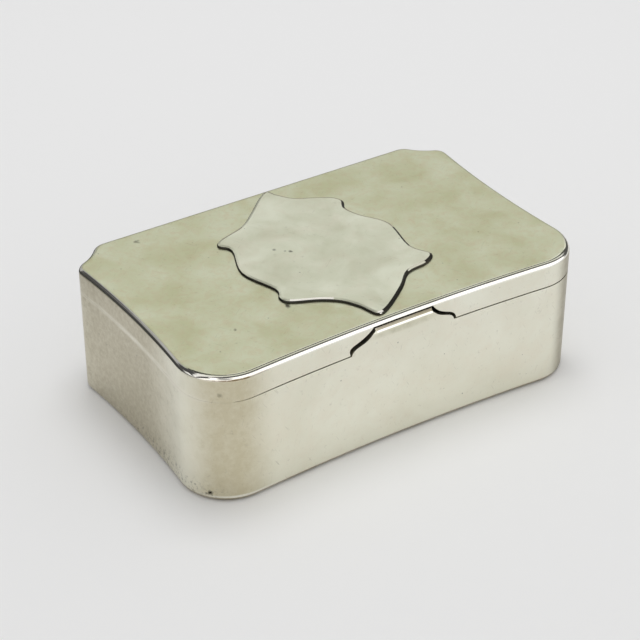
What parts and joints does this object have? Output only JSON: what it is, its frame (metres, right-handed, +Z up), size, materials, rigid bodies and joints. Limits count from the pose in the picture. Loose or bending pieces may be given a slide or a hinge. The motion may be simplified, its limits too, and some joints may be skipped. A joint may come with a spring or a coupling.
{
  "type": "snuff box",
  "caption": "Pocket box of sheet silver with bowed sides and canted back corners, a raised blank plate on the lid, a front tab and a flush tube hinge along the back.",
  "frame": {"origin": "middle of the underside of the base, halfway along the length and the depth", "axes": "+X along the length to the right end, +Y from the front tab to the hinge, +Z up through the lid"},
  "size_m": [0.065, 0.0406, 0.0213],
  "materials": {
    "body_silver": "worn polished silver, warm and slightly tarnished",
    "lid_silver": "silver with a soft olive tarnish and fine scratches",
    "plate_silver": "smooth silver plate, lightly pitted",
    "hinge_silver": "drawn silver tube and strip, dull from handling",
    "pin_brass": "drawn brass wire"
  },
  "bodies": {
    "box": {"base_plate": "body_silver", "body_wall": "body_silver", "body_bezel": "body_silver", "body_hinge_bed": "hinge_silver", "body_knuckle_1": "hinge_silver", "body_knuckle_3": "hinge_silver", "body_knuckle_5": "hinge_silver", "body_knuckle_7": "hinge_silver", "hinge_pin": "pin_brass", "pin_plug_left": "hinge_silver", "pin_plug_right": "hinge_silver"},
    "lid": {"lid_top": "lid_silver", "lid_rim": "body_silver", "cartouche_plate": "plate_silver", "lid_hinge_bed": "hinge_silver", "lid_knuckle_2": "hinge_silver", "lid_knuckle_4": "hinge_silver", "lid_knuckle_6": "hinge_silver"}
  },
  "joints": [
    {"name": "lid_hinge", "type": "hinge", "parent": "box", "child": "lid", "pos_m": [0, 0.01905, 0.01688], "axis": [-1, 0, 0], "range_deg": [0, 100]}
  ]
}
